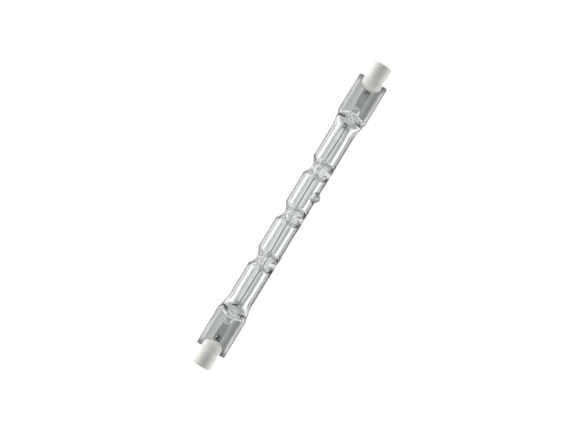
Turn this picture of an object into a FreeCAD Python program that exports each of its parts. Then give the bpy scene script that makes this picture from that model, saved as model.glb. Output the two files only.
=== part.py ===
import FreeCAD, Part
import Sketcher
import math
import os
import re

# Linear halogen lamp: a dimpled quartz tube with a flat pinch seal and a ceramic cap at each end.
# Millimetres. X runs along the lamp from the left cap to the right cap, Z is up from the surface that
# the lamp lies on, with the flats of its pinches level, and the origin is at the middle of the axis.

DIMENSIONS = {
    # the whole lamp
    "overall_length": 117.6,
    # quartz tube and its necks
    "tube_diameter": 8.8,
    "tube_wall": 0.95,
    "neck_pitch": 17.7,
    "press_radius": 3.0,
    "dimple_wall": 0.85,
    "filament_gap": 0.3,
    # shoulders, where the tube is drawn out sideways and closed by the press jaws over each pinch
    "shoulder_width": 10.0,
    "flare_length": 6.0,
    "bulb_overlap": 1.6,
    "vault_rise": 0.15,
    "arch_flat": 2.5,
    "arch_slant": 17.0,
    # pinch seals, and the pocket that each leaves open round its inner lead
    "pinch_length": 14.1,
    "pinch_width": 10.7,
    "web_thickness": 2.2,
    "rail_width": 1.4,
    "rail_height": 3.4,
    "rail_round": 0.6,
    "web_round": 0.2,
    "pocket_length": 2.6,
    "pocket_width": 3.5,
    "pocket_height": 0.7,
    "pocket_round": 0.6,
    # melted-off exhaust tip
    "tip_place": 9.0,
    "tip_turn": 35.0,
    "tip_reach": 2.0,
    "tip_diameter": 2.8,
    "tip_end_diameter": 0.7,
    "tip_flare": 0.6,
    "tip_bore": 1.1,
    # ceramic caps
    "cap_diameter": 7.0,
    "cap_length": 9.8,
    "cap_overhang": 6.2,
    "barrel_length": 3.6,
    "waist_diameter": 6.1,
    "waist_place": 5.8,
    "nose_diameter": 6.9,
    "nose_length": 2.9,
    "nose_bevel": 0.9,
    "nose_bevel_diameter": 5.8,
    "nose_face_diameter": 3.4,
    "rim_chamfer": 0.35,
    "recess_diameter": 4.8,
    "recess_depth": 1.7,
    "cement_gap": 0.2,
    "cement_bead": 0.25,
    # contacts and leads
    "contact_diameter": 4.0,
    "contact_thickness": 0.9,
    "contact_chamfer": 0.15,
    "contact_clearance": 0.05,
    "lead_hole_clearance": 0.25,
    "outer_lead_diameter": 0.6,
    "inner_lead_diameter": 0.3,
    "weld_flat": 0.06,
    "weld_run": 0.3,
    "crank_offset": 1.1,
    "crank_length": 0.7,
    "crank_run": 0.2,
    # seal foils
    "foil_width": 2.8,
    "foil_length": 8.3,
    "foil_thickness": 0.04,
    "foil_inset": 2.0,
    "outer_weld": 3.4,
    "inner_weld": 1.2,
    # tungsten coil
    "coil_length": 69.6,
    "coil_wire": 0.12,
    "spud_length": 1.5,
    "spud_clearance": 0.02,
}
NECK_COUNT = 3
DIMPLES_PER_NECK = 3
VAULT_SIDES = {"back": 1, "middle": 0, "front": -1}

# Places along the lamp from its middle, and other sizes that follow from the dimensions
CAP_RIM = "(overall_length / 2)"
CAP_NOSE = "(overall_length / 2 - cap_length)"
PINCH_END = "(overall_length / 2 - cap_overhang)"
PINCH_START = "(overall_length / 2 - cap_overhang - pinch_length)"
FLARE_START = f"({PINCH_START} - flare_length)"
BULB_END = f"({PINCH_START} + bulb_overlap)"
CAVITY_END = f"({BULB_END} - tube_wall)"
HALF_WEB = "(pinch_width / 2 - rail_width)"
SLOT_FLOOR = f"({PINCH_END} + cement_gap)"
SLOT_HEIGHT = "(web_thickness + 2 * cement_gap)"
RECESS_FLOOR = "(overall_length / 2 - recess_depth)"
CONTACT_BACK = f"({RECESS_FLOOR} - contact_thickness)"
CONTACT_SEAT = "(contact_diameter / 2 + contact_clearance)"
LEAD_HOLE = "(outer_lead_diameter / 2 + lead_hole_clearance)"
FOIL_OUTER = f"({PINCH_END} - foil_inset)"
FOIL_INNER = f"({FOIL_OUTER} - foil_length)"
FOIL_TOP = "(weld_flat - inner_lead_diameter / 2)"
OUTER_LEAD_START = f"({FOIL_OUTER} - outer_weld)"
OUTER_LEAD_HEIGHT = f"({FOIL_TOP} + outer_lead_diameter / 2 - weld_flat)"
INNER_LEAD_START = f"({FOIL_INNER} + inner_weld)"
COIL_END = "(coil_length / 2)"
COIL_BORE = "(inner_lead_diameter + 2 * spud_clearance)"
COIL_DIAMETER = f"({COIL_BORE} + 2 * coil_wire)"
THROAT = f"({COIL_DIAMETER} / 2 + filament_gap)"
NOSE_SHOULDER = f"({CAP_NOSE} + nose_bevel)"
NOSE_BACK = f"({CAP_NOSE} + nose_length)"

doc = FreeCAD.newDocument("linear_halogen_lamp")
sheet = doc.addObject("Spreadsheet::Sheet", "Sizes")
slate = doc.addObject("Spreadsheet::Sheet", "Slate")
for row, (alias, size) in enumerate(DIMENSIONS.items(), start=1):
    sheet.set(f"A{row}", alias)
    sheet.set(f"B{row}", str(size))
    sheet.setAlias(f"B{row}", alias)
doc.recompute()


def sized(text):
    """An expression with each dimension's name pointed at its cell in the sheet."""
    return re.sub(r"[a-z_]+", lambda word: f"Sizes.{word[0]}" if word[0] in DIMENSIONS else word[0], text)


def reading(text):
    """The present value of an expression, worked out on a sheet of its own."""
    slate.set("A1", f"={sized(text)}")
    slate.recompute()
    return float(slate.get("A1"))


def bind(thing, **sizes):
    """Tie properties of an object to expressions. A double underscore in a name stands for a dot."""
    for name, text in sizes.items():
        thing.setExpression(name.replace("__", "."), sized(text))
    return thing


def datum(body, role):
    """One of a body's own origin planes or axes."""
    return next(feature for feature in body.Origin.OriginFeatures if feature.Role == role)


def sketch_on(body, name, role, lift="0"):
    """A sketch on an origin plane of its body, lifted along that plane's normal."""
    sketch = body.newObject("Sketcher::SketchObject", name)
    sketch.AttachmentSupport = (datum(body, role), "")
    sketch.MapMode = "FlatFace"
    return bind(sketch, AttachmentOffset__Base__z=lift)


def hold(sketch, constraint, text):
    """Add a dimension to a sketch and tie it to an expression."""
    index = sketch.addConstraint(constraint)
    sketch.setExpression(f"Constraints[{index}]", sized(text))


def spot(across, along):
    return FreeCAD.Vector(reading(across.lstrip("~")), reading(along.lstrip("~")), 0)


def outline(sketch, corners, bends=None):
    """A closed outline, each corner held by its coordinates. A coordinate marked ~ is only a first guess.

    bends gives the runs that are arcs: the corner where one starts, and its centre.
    """
    bends = bends or {}
    first = sketch.GeometryCount
    count = len(corners)
    points = [spot(*corner) for corner in corners]
    starts, ends = [1] * count, [2] * count
    for i in range(count):
        here, there = points[i], points[(i + 1) % count]
        if i not in bends:
            sketch.addGeometry(Part.LineSegment(here, there))
            continue
        centre = spot(*bends[i])
        from_angle, to_angle = (math.atan2(p.y - centre.y, p.x - centre.x) for p in (here, there))
        if math.sin(to_angle - from_angle) < -1e-9:
            # arcs run anticlockwise, so this one is drawn from its far end
            from_angle, to_angle = to_angle, from_angle
            starts[i], ends[i] = 2, 1
        circle = Part.Circle(centre, FreeCAD.Vector(0, 0, 1), there.distanceToPoint(centre))
        sketch.addGeometry(Part.ArcOfCircle(circle, from_angle, to_angle))
    for i in range(count):
        follower = (i + 1) % count
        joint = Sketcher.Constraint("Coincident", first + i, ends[i], first + follower, starts[follower])
        sketch.addConstraint(joint)
    held = [(i, starts[i], corner) for i, corner in enumerate(corners)]
    held += [(i, 3, centre) for i, centre in bends.items()]
    for i, end, texts in held:
        for kind, text in zip(("DistanceX", "DistanceY"), texts):
            if not text.startswith("~"):
                hold(sketch, Sketcher.Constraint(kind, first + i, end, reading(text)), text)


def block_outline(sketch, left, right, low, high):
    outline(sketch, [(left, low), (right, low), (right, high), (left, high)])


def ring(sketch, diameter, across="0", along="0"):
    """A circle held by its centre and its diameter."""
    circle = sketch.addGeometry(Part.Circle(FreeCAD.Vector(0, 0, 0), FreeCAD.Vector(0, 0, 1), 1.0))
    hold(sketch, Sketcher.Constraint("DistanceX", circle, 3, 0.0), across)
    hold(sketch, Sketcher.Constraint("DistanceY", circle, 3, 0.0), along)
    hold(sketch, Sketcher.Constraint("Diameter", circle, 2.0), diameter)


def pad(body, name, sketch, length, both_ways=False):
    feature = body.newObject("PartDesign::Pad", name)
    feature.Profile = sketch
    if both_ways:
        feature.SideType = "Symmetric"
    return bind(feature, Length=length)


def cut_through(body, name, sketch):
    """Pocket a sketch right through the body, both ways from the sketch's plane."""
    doc.recompute()
    before = body.Shape.Volume
    feature = body.newObject("PartDesign::Pocket", name)
    feature.Profile = sketch
    feature.Type = "ThroughAll"
    feature.SideType = "Symmetric"
    doc.recompute()
    if not feature.Shape.Volume < before:
        raise RuntimeError(f"{name} cuts nothing")


def turned(body, name, corners, bends=None, plane="XY_Plane", axis="H_Axis"):
    """Revolve an outline about its sketch's first axis, which is X, or about its second, Y or Z."""
    sketch = sketch_on(body, f"{name}_outline", plane)
    outline(sketch, corners, bends)
    feature = body.newObject("PartDesign::Revolution", name)
    feature.Profile = sketch
    feature.ReferenceAxis = (sketch, [axis])
    feature.Angle = 360
    doc.recompute()


def dress_edges(body, kind, name, wanted, **sizes):
    """Round or chamfer the edges of the body's last feature that a test picks out."""
    doc.recompute()
    base = body.Tip
    picked = [f"Edge{i}" for i, edge in enumerate(base.Shape.Edges, start=1) if wanted(base.Shape, edge)]
    if not picked:
        raise RuntimeError(f"{name} finds no edge")
    feature = body.newObject(f"PartDesign::{kind}", name)
    feature.Base = (base, picked)
    bind(feature, **sizes)
    doc.recompute()


def ring_at(radius, **place):
    """A test for the round edge of a radius whose centre has the given x or y."""
    size = reading(radius)
    spots = {axis: reading(text) for axis, text in place.items()}

    def wanted(shape, edge):
        curve = edge.Curve
        if not isinstance(curve, Part.Circle) or abs(curve.Radius - size) > 1e-4:
            return False
        return all(abs(getattr(curve.Center, axis) - spot) < 1e-4 for axis, spot in spots.items())

    return wanted


def long_edge_at(side, level):
    """A test for the four edges along X that lie at a distance to each side and above and below."""
    y, z = reading(side), reading(level)

    def wanted(shape, edge):
        middle = edge.CenterOfMass
        placed = abs(abs(middle.y) - y) < 1e-4 and abs(abs(middle.z) - z) < 1e-4
        return placed and edge.BoundBox.XLength > edge.BoundBox.YLength + edge.BoundBox.ZLength

    return wanted


def together(kind, name, pieces):
    """A Part boolean, MultiFuse or MultiCommon, over several shapes."""
    result = doc.addObject(f"Part::{kind}", name)
    result.Shapes = pieces
    return result


def mirrored(name, source):
    """The same piece at the left end of the lamp."""
    copy = doc.addObject("Part::Mirroring", name)
    copy.Source = source
    copy.Normal = FreeCAD.Vector(1, 0, 0)
    return copy


def both_ends(name, right):
    """A piece of the right end and its copy at the left end, named for their ends."""
    right.Label = f"{name}_right"
    left = mirrored(f"{name}_left", right)
    left.Label = f"{name}_left"
    return [left, right]


def dimpled_rod(name, diameter, floor):
    """A rod between the shoulders, with three dimples at 120 degrees at each neck, pressed in to a floor."""
    body = doc.addObject("PartDesign::Body", name)
    section = sketch_on(body, f"{name}_section", "YZ_Plane")
    ring(section, diameter)
    pad(body, f"{name}_length", section, f"2 * {FLARE_START}", both_ways=True)
    presses = []
    for neck in range(NECK_COUNT):
        ball = body.newObject("PartDesign::SubtractiveSphere", f"{name}_press_{neck}")
        ball.AttachmentSupport = (datum(body, "XY_Plane"), "")
        ball.MapMode = "FlatFace"
        place = f"{neck - (NECK_COUNT - 1) / 2} * neck_pitch"
        centre = f"{floor} + press_radius"
        bind(ball, Radius="press_radius", AttachmentOffset__Base__x=place, AttachmentOffset__Base__y=centre)
        presses.append(ball)
    doc.recompute()
    around = body.newObject("PartDesign::PolarPattern", f"{name}_presses")
    around.Originals = presses
    around.Axis = (datum(body, "X_Axis"), [""])
    around.Angle = 360
    around.Occurrences = DIMPLES_PER_NECK
    body.Tip = around
    return body


def vault(name, inset, side):
    """A half-round vault across the lamp, square to its axis or, at either side, turned back by the slant."""
    body = doc.addObject("PartDesign::Body", name)
    profile = sketch_on(body, f"{name}_profile", "XZ_Plane")
    height = f"(tube_diameter / 2 + vault_rise - {inset})"
    spring, back = f"-{height}", "-2 * flare_length"
    corners = [(back, f"-{height}"), (spring, f"-{height}"), (spring, f"~{height}"), (back, height)]
    outline(profile, corners, {1: (spring, "0")})
    pad(body, f"{name}_span", profile, "3 * shoulder_width", both_ways=True)
    body.Placement.Rotation = FreeCAD.Rotation(FreeCAD.Vector(0, 0, 1), 1)
    return bind(
        body,
        Placement__Base__x=f"{BULB_END} - {inset}",
        Placement__Base__y=f"{side} * arch_flat / 2",
        Placement__Rotation__Angle=f"{side} * arch_slant",
    )


def shoulder(name, inset):
    """The tube's end, flared sideways towards the pinch and closed by three vaults that meet in an arch."""
    flare = doc.addObject("PartDesign::Body", f"{name}_flare")
    mouth = f"{FLARE_START} + 2 * flare_length"
    turned(
        flare,
        f"{name}_flare_turning",
        [
            (FLARE_START, "0"),
            (mouth, "0"),
            (mouth, f"shoulder_width - tube_diameter / 2 - {inset}"),
            (FLARE_START, f"tube_diameter / 2 - {inset}"),
        ],
    )
    vaults = [vault(f"{name}_vault_{place}", inset, side) for place, side in VAULT_SIDES.items()]
    return together("MultiCommon", name, [flare, *vaults])


def pinch():
    """The pressed end: a flat web with a raised rail along each edge."""
    body = doc.addObject("PartDesign::Body", "pinch")
    web_start = f"({FLARE_START} + flare_length / 2)"
    web = sketch_on(body, "web_section", "YZ_Plane", web_start)
    block_outline(web, f"-{HALF_WEB}", HALF_WEB, "-web_thickness / 2", "web_thickness / 2")
    pad(body, "web", web, f"{PINCH_END} - {web_start}")
    rails = sketch_on(body, "rail_sections", "YZ_Plane", PINCH_START)
    block_outline(rails, HALF_WEB, "pinch_width / 2", "-rail_height / 2", "rail_height / 2")
    block_outline(rails, "-pinch_width / 2", f"-{HALF_WEB}", "-rail_height / 2", "rail_height / 2")
    pad(body, "rails", rails, "pinch_length")
    outer_corners = long_edge_at("pinch_width / 2", "rail_height / 2")
    dress_edges(body, "Fillet", "rail_backs", outer_corners, Radius="rail_round")
    inner_corners = long_edge_at(HALF_WEB, "rail_height / 2")
    dress_edges(body, "Fillet", "rail_shoulders", inner_corners, Radius="web_round")
    return body


def lead_pocket():
    """The flat pocket between the bulb's end and the foil, where the quartz doesn't close on the lead."""
    body = doc.addObject("PartDesign::Body", "lead_pocket")
    plan = sketch_on(body, "pocket_plan", "XY_Plane")
    mouth = f"{CAVITY_END} - pocket_length / 4"
    block_outline(plan, mouth, f"{CAVITY_END} + pocket_length", "-pocket_width / 2", "pocket_width / 2")
    pad(body, "pocket_depth", plan, "pocket_height", both_ways=True)
    end = reading(f"{CAVITY_END} + pocket_length")

    def blind_corner(shape, edge):
        upright = edge.BoundBox.XLength < 1e-4 and edge.BoundBox.YLength < 1e-4
        return upright and edge.CenterOfMass.x > end - 1e-4

    dress_edges(body, "Fillet", "pocket_corners", blind_corner, Radius="pocket_round")
    return body


def tip_turning(name, corners):
    """A piece turned about the exhaust tip's axis, which points to one side and a little upwards."""
    body = doc.addObject("PartDesign::Body", name)
    turned(body, f"{name}_turning", corners, axis="V_Axis")
    body.Placement.Rotation = FreeCAD.Rotation(FreeCAD.Vector(1, 0, 0), -1)
    return bind(body, Placement__Base__x="tip_place", Placement__Rotation__Angle="-tip_turn")


def exhaust_stub():
    """The melted-off stub of the exhaust tube, flared where it was joined to the wall."""
    wall = "tube_diameter / 2"
    root = f"-({wall} - tube_wall / 2)"
    neck = f"-({wall} + tip_flare / 2)"
    crown = f"-({wall} + tip_reach / 2)"
    point = f"-({wall} + tip_reach)"
    return tip_turning(
        "exhaust_stub",
        [
            ("0", root),
            ("tip_diameter / 2 + tip_flare", root),
            ("tip_diameter / 2", neck),
            ("tip_diameter / 2", crown),
            ("tip_end_diameter / 2", point),
            ("0", point),
        ],
    )


def exhaust_funnel():
    """The funnel that the exhaust tube leaves inside its stub."""
    mouth = "-(tube_diameter / 2 - 1.5 * tube_wall)"
    return tip_turning(
        "exhaust_funnel",
        [("0", mouth), ("tip_bore / 2", mouth), ("0", "-(tube_diameter / 2 + tip_reach / 2)")],
    )


def quartz_envelope(sealed_in):
    """The tube, shoulders, pinches and tip as one piece, hollow, and closed on the metal sealed into it."""
    tube = dimpled_rod("tube", "tube_diameter", f"{THROAT} + dimple_wall")
    bore = dimpled_rod("bore", "tube_diameter - 2 * tube_wall", THROAT)
    ends = [shoulder("shoulder", "0"), pinch()]
    hollows = [shoulder("shoulder_hollow", "tube_wall"), lead_pocket()]
    for pieces in (ends, hollows):
        pieces += [mirrored(f"{piece.Name}_left", piece) for piece in pieces]
    outside = together("MultiFuse", "envelope_outside", [tube, exhaust_stub(), *ends])
    inside = together("MultiFuse", "envelope_inside", [bore, exhaust_funnel(), *hollows, *sealed_in])
    envelope = doc.addObject("Part::Cut", "envelope")
    envelope.Base = outside
    envelope.Tool = inside
    envelope.Label = "quartz_envelope"
    return envelope


def filament_coil():
    """The tungsten coil, as the sleeve that its turns fill."""
    body = doc.addObject("PartDesign::Body", "coil")
    section = sketch_on(body, "coil_section", "YZ_Plane")
    ring(section, COIL_DIAMETER)
    ring(section, COIL_BORE)
    pad(body, "coil_sleeve", section, "coil_length", both_ways=True)
    body.Label = "filament_coil"
    return body


def inner_lead():
    """A wire from the foil into the bulb, cranked sideways onto the axis to carry the coil's end."""
    body = doc.addObject("PartDesign::Body", "inner_lead")
    route = sketch_on(body, "lead_route", "XY_Plane")
    crank_end = f"{COIL_END} + crank_run"
    stops = [
        (INNER_LEAD_START, "crank_offset"),
        (f"{crank_end} + crank_length", "crank_offset"),
        (crank_end, "0"),
        (f"{COIL_END} - spud_length", "0"),
    ]
    for i, (here, there) in enumerate(zip(stops, stops[1:])):
        route.addGeometry(Part.LineSegment(spot(*here), spot(*there)))
        if i:
            route.addConstraint(Sketcher.Constraint("Coincident", i - 1, 2, i, 1))
    held = [(0, 1, stops[0]), *((i, 2, stop) for i, stop in enumerate(stops[1:]))]
    for line, end, (across, along) in held:
        hold(route, Sketcher.Constraint("DistanceX", line, end, reading(across)), across)
        hold(route, Sketcher.Constraint("DistanceY", line, end, reading(along)), along)
    section = sketch_on(body, "lead_section", "YZ_Plane", INNER_LEAD_START)
    ring(section, "inner_lead_diameter", "crank_offset")
    wire = body.newObject("PartDesign::AdditivePipe", "lead_wire")
    wire.Profile = section
    wire.Spine = route
    wire.Transition = "Right corner"
    flat = sketch_on(body, "lead_flat", "XZ_Plane")
    beyond = f"{INNER_LEAD_START} + weld_run"
    block_outline(flat, f"{FOIL_INNER} - weld_run", beyond, "-inner_lead_diameter", FOIL_TOP)
    cut_through(body, "lead_weld", flat)
    return body


def seal_foil():
    """A thin strip in the middle of the pinch, which the quartz seals to."""
    body = doc.addObject("PartDesign::Body", "seal_foil")
    plan = sketch_on(body, "foil_plan", "XY_Plane", f"{FOIL_TOP} - foil_thickness")
    block_outline(plan, FOIL_INNER, FOIL_OUTER, "-foil_width / 2", "foil_width / 2")
    pad(body, "foil_strip", plan, "foil_thickness")
    return body


def outer_lead():
    """A straight wire from its weld on the foil to the back of the contact."""
    body = doc.addObject("PartDesign::Body", "outer_lead")
    section = sketch_on(body, "wire_section", "YZ_Plane", OUTER_LEAD_START)
    ring(section, "outer_lead_diameter", "0", OUTER_LEAD_HEIGHT)
    pad(body, "wire", section, f"{CONTACT_BACK} - {OUTER_LEAD_START}")
    flat = sketch_on(body, "wire_flat", "XZ_Plane")
    before = f"{OUTER_LEAD_START} - weld_run"
    block_outline(flat, before, f"{FOIL_OUTER} + weld_run", "-outer_lead_diameter", FOIL_TOP)
    cut_through(body, "wire_weld", flat)
    return body


def contact():
    """The contact button, a disc set flush with the floor of the cap's recess."""
    body = doc.addObject("PartDesign::Body", "contact")
    edge = "contact_diameter / 2"
    corners = [(CONTACT_BACK, "0"), (CONTACT_BACK, edge), (RECESS_FLOOR, edge), (RECESS_FLOOR, "0")]
    turned(body, "button", corners)
    face_edge = ring_at(edge, x=RECESS_FLOOR)
    dress_edges(body, "Chamfer", "button_chamfer", face_edge, Size="contact_chamfer")
    return body


def ceramic_cap():
    """A cap with a waist and a bevelled nose, bored for the contact and slotted over the pinch."""
    body = doc.addObject("PartDesign::Body", "ceramic_cap")
    barrel_end = f"{CAP_RIM} - barrel_length"
    waist = f"{CAP_RIM} - waist_place"
    barrel, waist_edge, nose_edge = "cap_diameter / 2", "waist_diameter / 2", "nose_diameter / 2"
    turned(
        body,
        "cap_turning",
        [
            (CAP_NOSE, LEAD_HOLE),
            (CAP_NOSE, "nose_face_diameter / 2"),
            (NOSE_SHOULDER, "nose_bevel_diameter / 2"),
            (NOSE_BACK, nose_edge),
            (waist, waist_edge),
            (barrel_end, barrel),
            (CAP_RIM, barrel),
            (CAP_RIM, "recess_diameter / 2"),
            (RECESS_FLOOR, "recess_diameter / 2"),
            (RECESS_FLOOR, CONTACT_SEAT),
            (CONTACT_BACK, CONTACT_SEAT),
            (CONTACT_BACK, LEAD_HOLE),
        ],
    )
    dress_edges(body, "Chamfer", "rim_edge", ring_at(barrel, x=CAP_RIM), Size="rim_chamfer")
    slot = sketch_on(body, "slot_side", "XZ_Plane")
    before = f"{CAP_NOSE} - nose_length"
    block_outline(slot, before, SLOT_FLOOR, f"-{SLOT_HEIGHT} / 2", f"{SLOT_HEIGHT} / 2")
    cut_through(body, "slot", slot)
    return body


def cap_cement():
    """Cement in the slot, a thin layer over and under the web with a bead squeezed out round the nose."""
    body = doc.addObject("PartDesign::Body", "cap_cement")
    front = f"{CAP_NOSE} - cement_bead"
    side = "nose_diameter / 2 + cement_bead"
    inner_side = "waist_diameter / 2 - cement_gap"
    turned(
        body,
        "cement_turning",
        [
            (front, "0"),
            (front, "nose_face_diameter / 2"),
            (f"{NOSE_SHOULDER} - cement_bead", "nose_bevel_diameter / 2 + cement_bead"),
            (NOSE_BACK, side),
            (PINCH_END, side),
            (PINCH_END, inner_side),
            (SLOT_FLOOR, inner_side),
            (SLOT_FLOOR, "0"),
        ],
    )
    layers = sketch_on(body, "layer_sides", "XZ_Plane")
    before, behind = f"{CAP_NOSE} - nose_length", f"{SLOT_FLOOR} + nose_length"
    block_outline(layers, before, behind, f"{SLOT_HEIGHT} / 2", "cap_diameter")
    block_outline(layers, before, behind, "-cap_diameter", f"-{SLOT_HEIGHT} / 2")
    cut_through(body, "layers", layers)
    web = sketch_on(body, "web_side", "XZ_Plane")
    block_outline(web, before, PINCH_END, "-web_thickness / 2", "web_thickness / 2")
    cut_through(body, "web_room", web)
    wire = sketch_on(body, "wire_room_section", "YZ_Plane")
    ring(wire, "outer_lead_diameter", "0", OUTER_LEAD_HEIGHT)
    cut_through(body, "wire_room", wire)
    return body


foils = both_ends("seal_foil", seal_foil())
inner_leads = both_ends("inner_lead", inner_lead())
outer_leads = both_ends("outer_lead", outer_lead())
pieces = [
    quartz_envelope([*foils, *inner_leads, *outer_leads]),
    filament_coil(),
    *foils,
    *inner_leads,
    *outer_leads,
    *both_ends("contact", contact()),
    *both_ends("ceramic_cap", ceramic_cap()),
    *both_ends("cap_cement", cap_cement()),
]
doc.recompute()

for thing in doc.Objects:
    if "Invalid" in thing.State or "Error" in thing.State:
        raise RuntimeError(f"{thing.Label} did not build: {thing.State}")
for piece in pieces:
    if piece.Shape.isNull() or not piece.Shape.isValid() or len(piece.Shape.Solids) != 1:
        raise RuntimeError(f"{piece.Label} is not one valid solid")

os.makedirs("parts", exist_ok=True)
for piece in pieces:
    piece.Shape.Solids[0].exportStep(f"parts/{piece.Label}.step")
    box = piece.Shape.BoundBox
    print(f"{piece.Label}: {piece.Shape.Volume:.2f} mm3, x {box.XMin:.2f} to {box.XMax:.2f}")
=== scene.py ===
"""The looks of a linear halogen lamp: clear quartz, white steatite caps and the metal sealed inside."""

import math

import bmesh
import bpy
import numpy as np
from mathutils import Matrix, Vector


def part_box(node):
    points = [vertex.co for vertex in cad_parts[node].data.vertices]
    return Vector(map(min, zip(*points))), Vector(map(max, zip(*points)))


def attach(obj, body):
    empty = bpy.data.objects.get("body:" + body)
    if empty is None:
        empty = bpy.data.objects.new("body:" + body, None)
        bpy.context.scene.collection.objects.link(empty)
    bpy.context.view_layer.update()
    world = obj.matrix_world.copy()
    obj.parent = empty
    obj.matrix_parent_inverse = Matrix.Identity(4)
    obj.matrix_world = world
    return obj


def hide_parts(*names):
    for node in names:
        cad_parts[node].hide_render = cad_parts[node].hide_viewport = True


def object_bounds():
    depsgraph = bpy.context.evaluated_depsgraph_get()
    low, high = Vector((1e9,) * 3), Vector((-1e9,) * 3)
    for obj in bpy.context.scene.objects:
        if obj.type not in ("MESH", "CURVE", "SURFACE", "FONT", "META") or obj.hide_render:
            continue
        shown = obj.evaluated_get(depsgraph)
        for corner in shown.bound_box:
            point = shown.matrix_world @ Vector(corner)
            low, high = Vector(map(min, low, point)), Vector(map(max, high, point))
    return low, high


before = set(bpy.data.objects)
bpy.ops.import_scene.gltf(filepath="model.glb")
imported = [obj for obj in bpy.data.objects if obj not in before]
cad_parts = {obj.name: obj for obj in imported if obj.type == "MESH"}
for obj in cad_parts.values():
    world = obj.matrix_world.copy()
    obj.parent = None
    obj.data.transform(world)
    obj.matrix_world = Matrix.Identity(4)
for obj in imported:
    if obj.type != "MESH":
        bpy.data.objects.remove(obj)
cad_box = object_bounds()

MM = 0.001
MERGE = 1e-7

# Places along the lamp from its middle, in millimetres, read from the frame
CAP_NOSE, CAP_RIM = (corner.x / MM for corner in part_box("ceramic_cap_right"))
PINCH_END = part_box("quartz_envelope")[1].x / MM
FOIL_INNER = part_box("seal_foil_right")[0].x / MM
_, FOIL_SIDE, FOIL_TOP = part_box("seal_foil_right")[1] / MM
LEAD_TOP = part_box("outer_lead_right")[1].z / MM
COIL_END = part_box("filament_coil")[1].x / MM
FLOOR = cad_box[0].z

# The blown tube and its three necks, in millimetres
TUBE_RADIUS = 4.4
TUBE_WALL = 0.95
NECKS = (-17.7, 0.0, 17.7)
DIMPLE_TURNS = (0, 120, 240)
PRESS_RADIUS = 3.0
PRESS_SPREAD = 1.08
THROAT = 0.59
DIMPLE_WALL = 0.85

# The pressed ends: a shoulder that widens and slopes down, a foot, a step along a slanted arch, and the pinch
PINCH_LENGTH = 14.1
PINCH_START = PINCH_END - PINCH_LENGTH
FLARE_START = PINCH_START - 6.0
FLARE_WIDENING = 0.6
FLARE_LIMIT = 1.15
FLARE_SQUARENESS = 0.15
SHOULDER_SPRING = FLARE_START - 3.0
SHOULDER_ROUNDING = 1.2
BULB_END = PINCH_START + 1.6
CAVITY_END = BULB_END - 2.5
STEP_LENGTH = 0.8
STEP_RISE = 0.52
FOOT_LENGTH = 1.75
FOOT_SLOPE = 0.42
ARCH_FLAT = 1.25
ARCH_SLANT = math.radians(17)
PINCH_WIDTH = 10.7
RAIL_WIDTH = 1.4
RAIL_HEIGHT = 3.0
WEB_THICKNESS = 2.2
WEB_SINK = 0.19
POCKET = (2.6, 3.5, 0.7)
GREY_PATCH_PLACE = 34.8

# The rails rise out of the shoulder over this length, from these shares of the pinch's width and height
RAIL_LEAD = 2.4
LEAD_WIDTH = 0.85
LEAD_HEIGHT = 0.3
LEAD_SHOULDER = 0.9

# The exhaust tip's place along the lamp, and its turn above level
TIP_PLACE = 9.0
TIP_TURN = math.radians(35)

# How far the coil sags to one side, as (along, aside)
COIL_SWAY = (
    (-34.8, 0.0), (-31.0, -0.15), (-17.7, -0.33), (0.0, 0.18), (17.7, 0.2), (31.0, -0.2), (34.8, 0.0),
)

# Welds between the outer leads and the foils
WELD_ROWS = [(-47.1 - 0.62 * i, y) for i in range(4) for y in (0.95, 0.5, -0.5, -0.95)]
WELD_RINGS = [(47.6, 0.0), (48.6, 0.0)]

# The slot in a cap's nose: its width, its height and the room that it leaves at the pinch's end
SLOT_WIDTH = 9
SLOT_HEIGHT = 2.6
SLOT_ROOM = 0.2


def place_free():
    """Leave edit mode, with nothing selected."""
    if bpy.context.object and bpy.context.object.mode != "OBJECT":
        bpy.ops.object.mode_set(mode="OBJECT")
    bpy.ops.object.select_all(action="DESELECT")


def named(name):
    """The primitive just added, under its own name, with its place and turn put into its mesh."""
    piece = bpy.context.object
    piece.name = piece.data.name = name
    bpy.ops.object.transform_apply(location=True, rotation=True, scale=True)
    return piece


def only(piece):
    """Select one piece and nothing else."""
    place_free()
    piece.select_set(True)
    bpy.context.view_layer.objects.active = piece


def edit(piece):
    """Open a piece in edit mode, selected all over."""
    only(piece)
    bpy.ops.object.mode_set(mode="EDIT")
    bpy.ops.mesh.select_all(action="SELECT")


def pick_edges(piece, test):
    """In edit mode, select only the edges that pass a test."""
    bpy.ops.mesh.select_mode(type="EDGE")
    bpy.ops.mesh.select_all(action="DESELECT")
    mesh = bmesh.from_edit_mesh(piece.data)
    for edge in mesh.edges:
        if test(edge):
            edge.select_set(True)
    mesh.select_flush_mode()
    bmesh.update_edit_mesh(piece.data)


def coordinates(piece):
    """A piece's vertices, in millimetres."""
    flat = np.empty(3 * len(piece.data.vertices))
    piece.data.vertices.foreach_get("co", flat)
    return flat.reshape(-1, 3) / MM


def move_to(piece, points):
    """Move a piece's vertices to points in millimetres."""
    piece.data.vertices.foreach_set("co", (np.asarray(points) * MM).ravel())
    piece.data.update()


def close_up(piece):
    """Merge seams and poles, and point the faces out of the solid."""
    edit(piece)
    bpy.ops.mesh.remove_doubles(threshold=MERGE)
    bpy.ops.mesh.normals_make_consistent(inside=False)
    place_free()


def apply_modifier(piece, kind, **settings):
    """Add a modifier with its settings, and apply it."""
    only(piece)
    modifier = piece.modifiers.new(kind.title(), kind)
    for name, value in settings.items():
        setattr(modifier, name, value)
    bpy.ops.object.modifier_apply(modifier=modifier.name)


def combine(base, tool, operation):
    """Join or cut one closed mesh by another, which is then gone."""
    apply_modifier(base, "BOOLEAN", object=tool, operation=operation, solver="EXACT")
    bpy.data.objects.remove(tool)


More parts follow.
